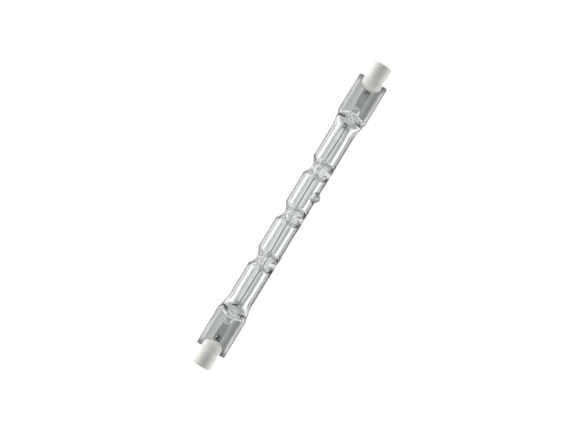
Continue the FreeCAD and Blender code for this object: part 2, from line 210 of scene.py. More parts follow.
def smooth(piece, degrees):
    """Shade a piece smooth, apart from edges sharper than an angle."""
    only(piece)
    bpy.ops.object.shade_smooth_by_angle(angle=math.radians(degrees))


def finish_piece(piece, material, slot, *nodes):
    """Give a piece its material and its body, and hide the nodes of the frame that it stands for. Its slot is
    not used.
    """
    piece.data.materials.clear()
    piece.data.materials.append(material)
    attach(piece, "root")
    if nodes:
        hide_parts(*nodes)


def rounded(corners):
    """Points along an outline of (along, out, round) corners, with an arc at each that has a round."""
    points = []
    for i, (along, out, radius) in enumerate(corners):
        corner = Vector((along, out))
        if not radius:
            points.append(corner)
            continue
        before = (Vector(corners[i - 1][:2]) - corner).normalized()
        after = (Vector(corners[(i + 1) % len(corners)][:2]) - corner).normalized()
        half = before.angle(after) / 2
        centre = corner + (before + after).normalized() * radius / math.sin(half)
        first = corner + before * radius / math.tan(half) - centre
        turn = first.angle_signed(corner + after * radius / math.tan(half) - centre)
        steps = max(2, round(abs(turn) / math.radians(12)))
        for step in range(steps + 1):
            angle = -turn * step / steps
            c, s = math.cos(angle), math.sin(angle)
            points.append(centre + Vector((first.x * c - first.y * s, first.x * s + first.y * c)))
    return points


def lathe(name, corners, steps):
    """A closed outline of (along, out, round) corners, in millimetres, spun about the lamp's axis."""
    points = rounded(corners)
    place_free()
    bpy.ops.mesh.primitive_circle_add(vertices=len(points), radius=1)
    piece = named(name)
    move_to(piece, [(p.x, p.y, 0) for p in points])
    edit(piece)
    bpy.ops.mesh.spin(steps=steps, angle=2 * math.pi, center=(0, 0, 0), axis=(1, 0, 0))
    close_up(piece)
    return piece


def block(name, start, end, width, height):
    """A box along the lamp's axis from start to end, in millimetres."""
    place_free()
    bpy.ops.mesh.primitive_cube_add(size=1)
    piece = named(name)
    size = (end - start, width, height)
    move_to(piece, coordinates(piece) * MM * size + ((start + end) / 2, 0, 0))
    return piece


def other_end(piece, name):
    """A copy of a piece of the right end, mirrored to the left end."""
    only(piece)
    bpy.ops.object.duplicate()
    copy = bpy.context.object
    copy.name = copy.data.name = name
    move_to(copy, coordinates(copy) * (-1, 1, 1))
    edit(copy)
    bpy.ops.mesh.flip_normals()
    place_free()
    return copy


# Blown quartz envelope


def smooth_max(a, b, reach):
    """The larger of two values, rounded where they are within reach of each other."""
    mix = np.clip(0.5 + 0.5 * (a - b) / reach, 0, 1)
    return b + (a - b) * mix + reach * mix * (1 - mix)


def smooth_min(a, b, reach):
    """The smaller of two values, rounded in the same way."""
    return -smooth_max(-a, -b, reach)


def dented_radius(along, turn, radius, floor, rounding):
    """How far a round wall stands from the axis, pressed in at each neck by three round rods."""
    low, high = np.zeros_like(along), np.full_like(along, radius)
    for _ in range(32):
        middle = (low + high) / 2
        out = middle - radius
        for neck in NECKS:
            for degrees in DIMPLE_TURNS:
                swing = turn - math.radians(degrees)
                side = middle * np.sin(swing) / PRESS_SPREAD
                depth = middle * np.cos(swing) - floor - PRESS_RADIUS
                reach = np.sqrt((along - neck) ** 2 + side ** 2 + depth ** 2)
                out = smooth_max(out, PRESS_RADIUS - reach, rounding)
        low, high = np.where(out < 0, middle, low), np.where(out < 0, high, middle)
    return low


def bulb_skin(name, rows, around, inset, floor, rounding, end, slope, foot, step):
    """The bulb's wall, from the arch over one pinch to the other, as a sheet rolled up.

    Towards each end the press has flattened it: it widens while its roof slopes down to a foot. The upper
    jaw leaves a steeper step there, and the lower side starts that much further in."""
    ramp_rows = 56
    place_free()
    bpy.ops.mesh.primitive_grid_add(x_subdivisions=rows, y_subdivisions=around, size=2)
    skin = named(name)
    grid = coordinates(skin) * MM
    side, turn = np.sign(grid[:, 0]), (grid[:, 1] + 1) * math.pi
    share = np.abs(grid[:, 0]) * rows / 2
    straight = rows / 2 - ramp_rows
    ramp = np.clip((share - straight) / ramp_rows, 0, 1)
    tube = share / straight * SHOULDER_SPRING
    along = np.where(share < straight, tube, SHOULDER_SPRING + (end - SHOULDER_SPRING) * ramp)
    radius = TUBE_RADIUS - inset
    flare = np.clip((along - FLARE_START) / (PINCH_START - FLARE_START), 0, FLARE_LIMIT)
    width = radius + FLARE_WIDENING * flare ** 2
    short = end - along
    rise = np.where(turn < math.pi, np.minimum(short, step) * STEP_RISE / STEP_LENGTH, 0)
    if step:
        rise = rise + FOOT_SLOPE * np.clip(short - step, 0, FOOT_LENGTH)
        short = short - step - FOOT_LENGTH
    ceiling = foot + rise + slope * np.maximum(short, 0)
    roof = smooth_min(np.full_like(along, radius), ceiling, SHOULDER_ROUNDING)
    pressed = dented_radius(side * along, turn, radius, floor, rounding)
    power = 1 - FLARE_SQUARENESS * flare
    c, s = np.cos(turn), np.sin(turn)
    round_part = along < SHOULDER_SPRING
    across = np.where(round_part, pressed * c, width * np.sign(c) * np.abs(c) ** power)
    up = np.where(round_part, pressed * s, roof * np.sign(s) * np.abs(s) ** power)
    up = np.where((share > rows / 2 - 0.5) | (np.abs(s) < 1e-6), 0, up)
    fall = np.clip(np.abs(across) - ARCH_FLAT, 0, None) * math.tan(ARCH_SLANT)
    along = along - fall * ramp ** 2 * (3 - 2 * ramp)
    move_to(skin, np.stack([side * along, across, up], axis=1))
    close_up(skin)
    return skin


def pinch():
    """A pressed end: a slightly sunk web with a round rail along each edge, softened at its cut end."""
    edge, top = PINCH_WIDTH / 2, RAIL_HEIGHT / 2
    inner, step = edge - RAIL_WIDTH, WEB_THICKNESS / 2
    sides = np.linspace(inner - 0.2, 0.2 - inner, 27)
    sunk = [(y, step - WEB_SINK * (1 - (y / inner) ** 2), 0) for y in sides]
    crown = [(edge, top, 0.5), (inner, top, 0.25), (inner, step, 0.06)]
    crown += sunk + [(-y, z, r) for y, z, r in reversed(crown)]
    section = rounded(crown + [(-y, -z, r) for y, z, r in crown])
    place_free()
    bpy.ops.mesh.primitive_circle_add(vertices=len(section), radius=1)
    piece = named("pinch")
    start = PINCH_START - RAIL_LEAD
    move_to(piece, [(start, LEAD_WIDTH * p.x, LEAD_HEIGHT * p.y) for p in section])
    edit(piece)
    bpy.ops.mesh.edge_face_add()
    # Each run is a length, and how much wider and higher the section is at its far end
    growth = (LEAD_SHOULDER / LEAD_HEIGHT) ** (1 / 3)
    lead = [(RAIL_LEAD / 4, 1, growth)] * 3 + [(RAIL_LEAD / 4, 1 / LEAD_WIDTH, 1 / LEAD_SHOULDER)]
    softened = [(0.25, 0.985, 0.985), (0.14, 0.965, 0.965), (0.06, 0.94, 0.94)]
    under_arch = [(0.25, 1, 1)] * 10
    rest = PINCH_LENGTH - sum(run for run, _, _ in under_arch + softened)
    for run, wide, high in lead + under_arch + [(rest, 1, 1)] + softened:
        bpy.ops.mesh.extrude_region_move(TRANSFORM_OT_translate={"value": (run * MM, 0, 0)})
        bpy.ops.transform.resize(value=(1, wide, high))
    close_up(piece)
    return piece


def lead_pocket():
    """The flat pocket that the quartz leaves open round the inner lead."""
    length, width, height = POCKET
    end = BULB_END - TUBE_WALL + length
    piece = block("pocket", CAVITY_END - length / 4, end, width, height)
    edit(piece)

    def drop(edge):
        return abs(edge.verts[0].co.z - edge.verts[1].co.z)

    pick_edges(piece, lambda edge: drop(edge) > height / 2 * MM and edge.verts[0].co.x > (end - 0.01) * MM)
    bpy.ops.mesh.bevel(offset=0.6 * MM, segments=5, affect="EDGES")
    pick_edges(piece, lambda edge: drop(edge) < 0.01 * MM)
    bpy.ops.mesh.bevel(offset=0.22 * MM, segments=3, affect="EDGES")
    place_free()
    return piece


def tip_piece(name, corners):
    """A piece turned about the exhaust tip's axis, out from the lamp's axis in millimetres."""
    piece = lathe(name, corners, 40)
    out = Vector((0, -math.cos(TIP_TURN), math.sin(TIP_TURN)))
    turn = Vector((1, 0, 0)).rotation_difference(out).to_matrix()
    move_to(piece, coordinates(piece) @ np.array(turn).T + (TIP_PLACE, 0, 0))
    return piece


def blown_envelope(material):
    """The envelope: its outside with the pinches and the tip, and its hollow with the pockets."""
    outside = bulb_skin(
        "blown_envelope", rows=380, around=120, inset=0.0, floor=THROAT + DIMPLE_WALL, rounding=0.45,
        end=BULB_END, slope=0.48, foot=0.85, step=STEP_LENGTH,
    )
    hollow = bulb_skin(
        "hollow", rows=340, around=100, inset=TUBE_WALL, floor=THROAT, rounding=0.4,
        end=CAVITY_END, slope=0.6, foot=0.6, step=0.0,
    )
    for piece, whole in ((pinch(), outside), (lead_pocket(), hollow)):
        combine(whole, other_end(piece, f"{piece.name}_left"), "UNION")
        combine(whole, piece, "UNION")
    stub = [
        (3.6, 0.001, 0), (3.6, 2.1, 0), (4.4, 2.0, 0.3), (4.8, 1.45, 0.4), (5.45, 1.35, 0.5), (6.1, 0.7, 0.4),
        (6.2, 0.001, 0),
    ]
    combine(outside, tip_piece("exhaust_stub", stub), "UNION")
    funnel = [
        (2.9, 0.001, 0), (2.9, 1.6, 0), (3.9, 1.1, 0.3), (4.7, 0.85, 0.3), (5.6, 0.7, 0.3), (5.9, 0.001, 0),
    ]
    combine(hollow, tip_piece("exhaust_funnel", funnel), "UNION")
    edit(hollow)
    bpy.ops.mesh.flip_normals()
    only(outside)
    hollow.select_set(True)
    bpy.ops.object.join()
    smooth(outside, 22)
    finish_piece(outside, material, "quartz", "quartz_envelope")


# Metal inside


def filament_winding(material):
    """The coil, wound as a helix from a round wire."""
    wire, pitch, winding = 0.06, 0.22, 0.23
    turns = round(2 * COIL_END / pitch)
    place_free()
    bpy.ops.mesh.primitive_circle_add(vertices=6, radius=wire * MM, rotation=(math.pi / 2, 0, 0))
    piece = named("filament_winding")
    move_to(piece, coordinates(piece) + (-COIL_END + wire, 0, winding))
    step = 2 * (COIL_END - wire) / turns
    apply_modifier(
        piece, "SCREW", axis="X", angle=2 * math.pi, screw_offset=step * MM, iterations=turns,
        steps=14, render_steps=14, use_merge_vertices=True,
    )
    points = coordinates(piece)
    points[:, 1] += np.interp(points[:, 0], *zip(*COIL_SWAY))
    move_to(piece, points)
    close_up(piece)
    smooth(piece, 60)
    finish_piece(piece, material, "tungsten", "filament_coil")


def rod(name, path, radius):
    """A round rod along a level path of points in millimetres: a strip rolled up and closed at its ends."""
    path = np.asarray(path, float)
    place_free()
    bpy.ops.mesh.primitive_grid_add(x_subdivisions=len(path) - 1, y_subdivisions=12, size=2)
    piece = named(name)
    grid = coordinates(piece) * MM
    step = np.rint((grid[:, 0] + 1) * (len(path) - 1) / 2).astype(int)
    turn = (grid[:, 1] + 1) * math.pi
    run = np.gradient(path, axis=0)
    run /= np.linalg.norm(run, axis=1)[:, None]
    sideways = np.stack([-run[:, 1], run[:, 0], np.zeros(len(path))], axis=1)
    upward = np.array([0, 0, 1])
    offset = radius * (np.cos(turn)[:, None] * sideways[step] + np.sin(turn)[:, None] * upward)
    move_to(piece, path[step] + offset)
    edit(piece)
    bpy.ops.mesh.remove_doubles(threshold=MERGE)
    bpy.ops.mesh.select_all(action="SELECT")
    bpy.ops.mesh.fill_holes(sides=0)
    close_up(piece)
    return piece


def coil_legs(material):
    """The ends of the coil's wire, turned out to one side and wound on to the inner leads."""
    bar = COIL_END + 0.15
    left = [(-bar, -0.1, 0), (-bar - 0.12, 0.5, 0), (-bar - 0.45, 1.15, 0), (-bar - 0.65, 1.7, 0)]
    right = [(bar + 0.3, -0.35, 0), (bar + 0.3, 0.3, 0), (bar + 0.32, 0.8, 0), (bar + 0.4, 1.25, 0)]
    loop = [(bar - 0.7, -0.2, 0), (bar - 0.7, 0.3, 0), (bar - 0.65, 0.85, 0)]
    for name, path, radius in (
        ("coil_leg_left", left, 0.22),
        ("coil_knot_left", [(-bar - 0.5, 0, 0), (-bar, 0, 0), (-bar + 0.6, 0, 0)], 0.32),
        ("coil_leg_right", right, 0.2),
        ("coil_loop_right", loop, 0.18),
        ("coil_knot_right", [(bar - 0.7, -0.05, 0), (bar, -0.05, 0), (bar + 0.3, -0.05, 0)], 0.3),
    ):
        leg = rod(name, path, radius)
        smooth(leg, 60)
        finish_piece(leg, material, "tungsten")


def weld_nugget(name, x, y, level, outline):
    """A small weld on the foil, four-sided as a square electrode leaves it, with flat flanks."""
    weld = lathe(name, outline, 4)
    flat = coordinates(weld)
    move_to(weld, np.stack([x - flat[:, 2], y + flat[:, 1], level + flat[:, 0]], axis=1))
    close_up(weld)
    return weld


def weld_group(name, material, outline, level, places):
    """Equal welds at a number of places on a foil, as one piece."""
    welds = [weld_nugget(f"{name}_{i}", x, y, level, outline) for i, (x, y) in enumerate(places)]
    only(welds[0])
    for weld in welds[1:]:
        weld.select_set(True)
    bpy.ops.object.join()
    welds[0].name = welds[0].data.name = name
    smooth(welds[0], 15)
    finish_piece(welds[0], material, "molybdenum")


def foil_welds(bright, dark_shade):
    """Rows of flat nuggets where the left outer lead is welded on, and two rings at the right."""
    nugget = [(-0.01, 0.001, 0), (-0.01, 0.26, 0), (0.006, 0.26, 0), (0.074, 0.001, 0)]
    ring = [(-0.01, 0.22, 0), (-0.01, 0.6, 0), (0.006, 0.6, 0), (0.0792, 0.32, 0), (0.006, 0.22, 0)]
    # Dark discs under the welds: partly oxide from the welding, partly painted shade for the dark gaps
    # between the weld glints and the holes of the rings
    burn_and_shade_disc = [(-0.01, 0.001, 0), (-0.01, 0.5, 0), (0.004, 0.48, 0), (0.005, 0.001, 0)]
    weld_group("weld_rows_left", bright, nugget, FOIL_TOP, WELD_ROWS)
    weld_group("weld_burn_and_shade_left", dark_shade, burn_and_shade_disc, FOIL_TOP, WELD_ROWS)
    weld_group("weld_rings_right", bright, ring, LEAD_TOP, WELD_RINGS)
    weld_group("weld_burn_and_shade_right", dark_shade, burn_and_shade_disc, LEAD_TOP, WELD_RINGS)


# Ceramic caps


def steatite_cap(material):
    """A cap pressed and turned to a waist, with a rounded nose slotted over the pinch."""
    outline = [
        (CAP_NOSE, 0.45, 0),
        (CAP_NOSE, 2.0, 0.9),
        (CAP_NOSE + 0.9, 3.0, 0.9),
        (CAP_NOSE + 2.9, 3.45, 1.2),
        (CAP_RIM - 5.8, 3.05, 1.5),
        (CAP_RIM - 3.6, 3.5, 2.0),
        (CAP_RIM, 3.5, 0.4),
        (CAP_RIM, 2.4, 0.15),
        (CAP_RIM - 1.7, 2.4, 0.1),
        (CAP_RIM - 1.7, 2.05, 0),
        (CAP_RIM - 2.6, 2.05, 0),
        (CAP_RIM - 2.6, 0.45, 0),
    ]
    cap = lathe("steatite_cap_right", outline, 96)
    slot = block("slot", CAP_NOSE - 1, PINCH_END + SLOT_ROOM, SLOT_WIDTH, SLOT_HEIGHT)
    combine(cap, slot, "DIFFERENCE")
    smooth(cap, 32)
    left = other_end(cap, "steatite_cap_left")
    finish_piece(cap, material, "steatite", "ceramic_cap_right")
    finish_piece(left, material, "steatite", "ceramic_cap_left")


def cement_collar(material):
    """The uneven bead of cement squeezed out round the nose of a cap, above and below the pinch."""
    outline = [
        (CAP_NOSE + 0.5, 2.6, 0),
        (CAP_NOSE + 0.7, 3.1, 0.2),
        (CAP_NOSE + 1.7, 3.72, 0.7),
        (CAP_NOSE + 3.3, 3.72, 0.8),
        (CAP_NOSE + 5.6, 3.05, 0.2),
        (CAP_NOSE + 4.0, 2.9, 0),
    ]
    bead = lathe("cement_collar_right", outline, 96)
    points = coordinates(bead)
    turn = np.arctan2(points[:, 2], points[:, 1])
    swell = 1 + 0.012 * np.sin(3 * turn + 0.6) + 0.01 * np.sin(7 * turn + 2 * points[:, 0])
    points[:, 1:] *= swell[:, None]
    move_to(bead, points)
    slot = block("collar_slot", CAP_NOSE - 4, CAP_NOSE + 8, SLOT_WIDTH, SLOT_HEIGHT)
    combine(bead, slot, "DIFFERENCE")
    smooth(bead, 40)
    left = other_end(bead, "cement_collar_left")
    finish_piece(bead, material, "cement")
    finish_piece(left, material, "cement")


# Materials


def linear(code):
    """An sRGB hex colour as linear red, green, blue and alpha."""
    levels = [int(code[i:i + 2], 16) / 255 for i in (1, 3, 5)]
    return [v / 12.92 if v <= 0.04045 else ((v + 0.055) / 1.055) ** 2.4 for v in levels] + [1.0]


def add(owner, kind, inputs=(), **settings):
    """Add a node to a material or world and give its outputs. An input is a value, or an output to link."""
    tree = owner.node_tree
    node = tree.nodes.new(f"ShaderNode{kind}")
    for name, value in settings.items():
        setattr(node, name, value)
    for name, value in dict(inputs).items():
        if isinstance(value, bpy.types.NodeSocket):
            tree.links.new(value, node.inputs[name])
        else:
            node.inputs[name].default_value = value
    return node.outputs


def shader(name, **inputs):
    """A new material, with values set on its Principled node's own sockets."""
    material = bpy.data.materials.new(name)
    material.use_nodes = True
    node = material.node_tree.nodes["Principled BSDF"]
    for key, value in inputs.items():
        node.inputs[key.replace("_", " ")].default_value = value
    return material


def feed(material, **outputs):
    """Link outputs of a material's nodes to the sockets of its Principled node."""
    node = material.node_tree.nodes["Principled BSDF"]
    for key, output in outputs.items():
        material.node_tree.links.new(output, node.inputs[key.replace("_", " ")])


def clear_quartz():
    """Fused quartz, drawn, blown and pressed: clear and fire polished, faintly wavy along the draw.

    The pressed ends carry painted shade: grey that stands in for the darker light seen through them, deeper
    to one side and darkest at their sawn ends and along the rails' edges. Their sawn faces are frosted."""
    material = shader("clear_quartz", Roughness=0.0, IOR=1.458, Transmission_Weight=1.0)
    spot = add(material, "TexCoord")["Object"]
    place = add(material, "SeparateXYZ", {"Vector": spot})
    far = add(material, "Math", {0: place["X"]}, operation="ABSOLUTE")[0]
    beside = add(material, "Math", {0: place["Y"]}, operation="ABSOLUTE")[0]
    height = add(material, "Math", {0: place["Z"]}, operation="ABSOLUTE")[0]
    edge = PINCH_WIDTH / 2
    inner = edge - RAIL_WIDTH

    # The outer skin past the slanted arch
    fall = (edge - ARCH_FLAT) * math.tan(ARCH_SLANT)
    slant = add(material, "MapRange", {0: beside, 1: ARCH_FLAT * MM, 2: edge * MM, 4: fall * MM})[0]
    reach = add(material, "Math", {0: far, 1: slant}, operation="ADD")[0]
    start, full = (CAVITY_END - 0.3) * MM, (CAVITY_END + 0.4) * MM
    end_zone = add(material, "MapRange", {0: reach, 1: start, 2: full})[0]
    outer = add(material, "Math", {0: height, 1: POCKET[2] * MM}, operation="GREATER_THAN")[0]
    pressed = add(material, "Math", {0: end_zone, 1: outer}, operation="MULTIPLY")[0]

    # Painted shade on the pressed ends: thin over the foil, none on the bright step of the arch, a quarter on
    # the rails
    beyond = {1: FOIL_SIDE * MM, 2: (FOIL_SIDE + 0.1) * MM, 3: 0.35, 4: 1.0}
    over_foil = add(material, "MapRange", {0: beside, **beyond})[0]
    past_foil = add(material, "Math", {0: far, 1: FOIL_INNER * MM}, operation="LESS_THAN")[0]
    thinned = add(material, "Math", {0: over_foil, 1: past_foil}, operation="MAXIMUM")[0]
    pinch_shade_by_foil = add(material, "Math", {0: pressed, 1: thinned}, operation="MULTIPLY")[0]
    step_place = (BULB_END - STEP_LENGTH / 2) * MM
    off_step = add(material, "Math", {0: reach, 1: step_place}, operation="SUBTRACT")[0]
    from_step = add(material, "Math", {0: off_step}, operation="ABSOLUTE")[0]
    clear_step = add(material, "MapRange", {0: from_step, 1: 0.3 * MM, 2: 0.4 * MM, 3: 0.05, 4: 1.0})[0]
    pinch_shade_by_step = add(material, "Math", {0: pinch_shade_by_foil, 1: clear_step}, operation="MULTIPLY")[0]
    web = add(material, "MapRange", {0: beside, 1: inner * MM, 2: (inner + 0.3) * MM, 3: 1.0, 4: 0.25})[0]
    painted_pinch_shade = add(material, "Math", {0: pinch_shade_by_step, 1: web}, operation="MULTIPLY")[0]

    # A breath of grey in the middle of the tube's width, a little way in from each end
    off_patch = add(material, "Math", {0: far, 1: GREY_PATCH_PLACE * MM}, operation="SUBTRACT")[0]
    from_patch = add(material, "Math", {0: off_patch}, operation="ABSOLUTE")[0]
    grey_patch = add(material, "MapRange", {0: from_patch, 1: 0.3 * MM, 2: 1.5 * MM, 3: 0.55, 4: 0.0})[0]
    midway = add(material, "MapRange", {0: beside, 1: 1.7 * MM, 2: 2.3 * MM, 3: 1.0, 4: 0.0})[0]
    patch_grey = add(material, "Math", {0: grey_patch, 1: midway}, operation="MULTIPLY")[0]
    greyed = add(material, "Math", {0: painted_pinch_shade, 1: patch_grey}, operation="MAXIMUM")[0]

    # That painted shade is uneven, and deeper towards -Y, away from the brighter softbox
    cloud = add(material, "TexNoise", {"Vector": spot, "Scale": 1 / (4 * MM), "Detail": 3.0})[0]
    uneven = add(material, "MapRange", {0: cloud, 1: 0.3, 2: 0.7, 3: -0.1, 4: 0.1})[0]
    across = add(material, "MapRange", {0: place["Y"], 1: -3.5 * MM, 2: 3.0 * MM})[0]
    shade = add(material, "Math", {0: across, 1: uneven}, operation="ADD", use_clamp=True)[0]
    greys = {6: linear("#CBCFCE"), 7: linear("#EDF1F0")}
    grey = add(material, "Mix", {0: shade, **greys}, data_type="RGBA")[2]
    clear = add(material, "Mix", {0: greyed, 6: linear("#FBFDFC"), 7: grey}, data_type="RGBA")[2]

    # Painted shade: darker at the sawn ends and along the rails' outer edges
    sawing = {1: (PINCH_END - 2.6) * MM, 2: (PINCH_END - 0.9) * MM, 3: 0.0, 4: 0.85}
    end = add(material, "MapRange", {0: far, **sawing})[0]
    brink = add(material, "MapRange", {0: beside, 1: (edge - 0.5) * MM, 2: (edge - 0.25) * MM})[0]
    rail_edge_shade = add(material, "Math", {0: brink, 1: end_zone}, operation="MULTIPLY")[0]
    # Painted shade at the ends and edges, mixed towards dark grey below
    dark_shade = add(material, "Math", {0: end, 1: rail_edge_shade}, operation="MAXIMUM")[0]
    tint = add(material, "Mix", {0: dark_shade, 6: clear, 7: linear("#8E9492")}, data_type="RGBA")[2]
    frosting = {1: (PINCH_END - 1.6) * MM, 2: (PINCH_END - 0.6) * MM, 3: 0.0, 4: 0.3}
    sawn = add(material, "MapRange", {0: far, **frosting})[0]

    # Long waves of the draw, a few millimetres apart
    drawn = add(material, "Mapping", {"Vector": spot, "Scale": (0.12, 1, 1)})[0]
    wave = add(material, "TexNoise", {"Vector": drawn, "Scale": 1 / (2.5 * MM), "Detail": 2.0})[0]
    waved = add(material, "Bump", {"Height": wave, "Strength": 1.0, "Distance": 0.006 * MM})[0]

    # Dents of the tools at the necks, the tip and the foot of the arch
    neck = add(material, "Math", {0: place["X"], 1: NECKS[2] / 2 * MM}, operation="PINGPONG")[0]
    near = add(material, "MapRange", {0: neck, 1: 2.3 * MM, 2: 4.0 * MM, 3: 1.0, 4: 0.0})[0]
    within = add(material, "Math", {0: far, 1: FLARE_START * 0.8 * MM}, operation="LESS_THAN")[0]
    at_neck = add(material, "Math", {0: near, 1: within}, operation="MULTIPLY")[0]
    tip = (TIP_PLACE * MM, -5 * math.cos(TIP_TURN) * MM, 5 * math.sin(TIP_TURN) * MM)
    gap = add(material, "VectorMath", {0: spot, 1: tip}, operation="DISTANCE")["Value"]
    at_tip = add(material, "MapRange", {0: gap, 1: 1.4 * MM, 2: 2.4 * MM, 3: 1.0, 4: 0.0})[0]
    closing = {1: (CAVITY_END - 0.5) * MM, 2: (CAVITY_END + 0.2) * MM, 3: 0.0, 4: 0.42}
    closed = add(material, "MapRange", {0: far, **closing})[0]
    step_start = (BULB_END - STEP_LENGTH) * MM
    before = add(material, "Math", {0: far, 1: step_start}, operation="LESS_THAN")[0]
    at_foot = add(material, "Math", {0: closed, 1: before}, operation="MULTIPLY")[0]
    worked = add(material, "Math", {0: at_neck, 1: at_tip}, operation="MAXIMUM")[0]
    marked = add(material, "Math", {0: worked, 1: at_foot}, operation="MAXIMUM")[0]
    dent = add(material, "TexNoise", {"Vector": spot, "Scale": 1 / (0.7 * MM), "Detail": 1.5})[0]
    dents = {"Height": add(material, "Math", {0: dent, 1: marked}, operation="MULTIPLY")[0], "Normal": waved}
    dented = add(material, "Bump", {"Strength": 1.0, "Distance": 0.36 * MM, **dents})[0]

    # Fine ribs along the rails, drawn coarser than the jaws leave them so that they show
    rail = add(material, "Math", {0: 1.0, 1: web}, operation="SUBTRACT")[0]
    on_rail = add(material, "Math", {0: rail, 1: pressed}, operation="MULTIPLY")[0]
    ribbed = add(material, "Mapping", {"Vector": spot, "Scale": (0.04, 1, 1)})[0]
    rib = add(material, "TexNoise", {"Vector": ribbed, "Scale": 1 / (0.6 * MM), "Detail": 1.0})[0]
    ribs = {"Height": add(material, "Math", {0: rib, 1: on_rail}, operation="MULTIPLY")[0], "Normal": dented}
    bump = add(material, "Bump", {"Strength": 1.0, "Distance": 0.2 * MM, **ribs})[0]
    feed(material, Base_Color=tint, Roughness=sawn, Normal=bump)
    return material


def drawn_tungsten():
    """Tungsten wire, drawn and coiled: dark grey with a dull sheen, and darker where it has been hot."""
    material = shader("drawn_tungsten", Metallic=1.0, Roughness=0.4)
    spot = add(material, "TexCoord")["Object"]
    heat = add(material, "TexNoise", {"Vector": spot, "Scale": 1 / (1.5 * MM), "Detail": 4.0})[0]
    tone = add(material, "Mix", {0: heat, 6: linear("#77797B"), 7: linear("#A6A8A9")}, data_type="RGBA")[2]
    rough = add(material, "MapRange", {0: heat, 1: 0.2, 2: 0.8, 3: 0.3, 4: 0.5})[0]
    feed(material, Base_Color=tone, Roughness=rough)
    return material


def etched_molybdenum():
    """Molybdenum, rolled to foil and etched so that quartz wets it: matt pale grey, with rolling streaks.

    The streaks are drawn coarser than they are, so that they show."""
    material = shader("etched_molybdenum", Metallic=0.0, Roughness=0.6)
    spot = add(material, "TexCoord")["Object"]
    rolled = add(material, "Mapping", {"Vector": spot, "Scale": (0.1, 1, 1)})[0]
    streak = add(material, "TexNoise", {"Vector": rolled, "Scale": 1 / (0.3 * MM), "Detail": 3.0})[0]
    tone = add(material, "Mix", {0: streak, 6: linear("#F6F8F7"), 7: linear("#FEFEFE")}, data_type="RGBA")[2]
    bump = add(material, "Bump", {"Height": streak, "Strength": 0.3, "Distance": 0.01 * MM})[0]
    feed(material, Base_Color=tone, Normal=bump)
    return material


def bright_molybdenum():
    """Molybdenum, drawn to wire and fused at the welds: bright and mirror-like, with faint die lines."""
    material = shader("bright_molybdenum", Metallic=1.0, Roughness=0.08)
    spot = add(material, "TexCoord")["Object"]
    drawn = add(material, "Mapping", {"Vector": spot, "Scale": (0.1, 1, 1)})[0]
    lines = add(material, "TexNoise", {"Vector": drawn, "Scale": 1 / (0.1 * MM), "Detail": 2.0})[0]
    tone = add(material, "Mix", {0: lines, 6: linear("#E2E3E2"), 7: linear("#F4F4F2")}, data_type="RGBA")[2]
    rough = add(material, "MapRange", {0: lines, 1: 0.3, 2: 0.7, 3: 0.03, 4: 0.07})[0]
    feed(material, Base_Color=tone, Roughness=rough)
    return material


def oxidised_molybdenum():
    """Molybdenum wire, heated in air while the pinch was pressed: dull, and dark blue-grey with oxide."""
    material = shader("oxidised_molybdenum", Metallic=1.0, Roughness=0.5)
    spot = add(material, "TexCoord")["Object"]
    bloom = add(material, "TexNoise", {"Vector": spot, "Scale": 1 / (0.5 * MM), "Detail": 3.0})[0]
    tone = add(material, "Mix", {0: bloom, 6: linear("#5C6064"), 7: linear("#84878A")}, data_type="RGBA")[2]
    rough = add(material, "MapRange", {0: bloom, 1: 0.3, 2: 0.7, 3: 0.4, 4: 0.6})[0]
    feed(material, Base_Color=tone, Roughness=rough)
    return material


def fired_steatite():
    """Steatite, pressed and fired without a glaze: white and satin, faintly mottled, with a fine grit.

    The grit is drawn coarser than it is, so that it shows."""
    material = shader("fired_steatite", Roughness=0.5, IOR=1.55)
    spot = add(material, "TexCoord")["Object"]
    mottle = add(material, "TexNoise", {"Vector": spot, "Scale": 1 / (1.8 * MM), "Detail": 5.0})[0]
    tone = add(material, "Mix", {0: mottle, 6: linear("#E9E9E1"), 7: linear("#F6F6EF")}, data_type="RGBA")[2]
    grit = add(material, "TexNoise", {"Vector": spot, "Scale": 1 / (0.25 * MM), "Detail": 2.0})[0]
    rough = add(material, "MapRange", {0: grit, 1: 0.3, 2: 0.7, 3: 0.42, 4: 0.6})[0]
    bump = add(material, "Bump", {"Height": grit, "Strength": 0.35, "Distance": 0.03 * MM})[0]
    feed(material, Base_Color=tone, Roughness=rough, Normal=bump)
    return material


def set_cement():
    """Cement, set and fired: white and matt, with a coarse grit that shows where it is squeezed out."""
    material = shader("set_cement", Roughness=0.9)
    spot = add(material, "TexCoord")["Object"]
    grit = add(material, "TexNoise", {"Vector": spot, "Scale": 1 / (0.4 * MM), "Detail": 4.0})[0]
    tone = add(material, "Mix", {0: grit, 6: linear("#F2F3EC"), 7: linear("#FEFEFA")}, data_type="RGBA")[2]
    bump = add(material, "Bump", {"Height": grit, "Strength": 0.6, "Distance": 0.06 * MM})[0]
    feed(material, Base_Color=tone, Normal=bump)
    return material


def plated_nickel():
    """Nickel plate on the turned contact buttons: warm, bright metal with turning rings.

    The rings are drawn coarser than a lathe leaves them, so that they show."""
    material = shader("plated_nickel", Metallic=1.0, Roughness=0.25)
    spot = add(material, "TexCoord")["Object"]
    turned = {"Vector": spot, "Scale": 1 / (6 * MM), "Distortion": 0.6, "Detail": 2.0}
    rings = add(material, "TexWave", turned, wave_type="RINGS", rings_direction="X")[1]
    tone = add(material, "Mix", {0: rings, 6: linear("#C9C3B6"), 7: linear("#DAD6CC")}, data_type="RGBA")[2]
    rough = add(material, "MapRange", {0: rings, 3: 0.2, 4: 0.34})[0]
    feed(material, Base_Color=tone, Roughness=rough)
    return material


# Stage, light and camera


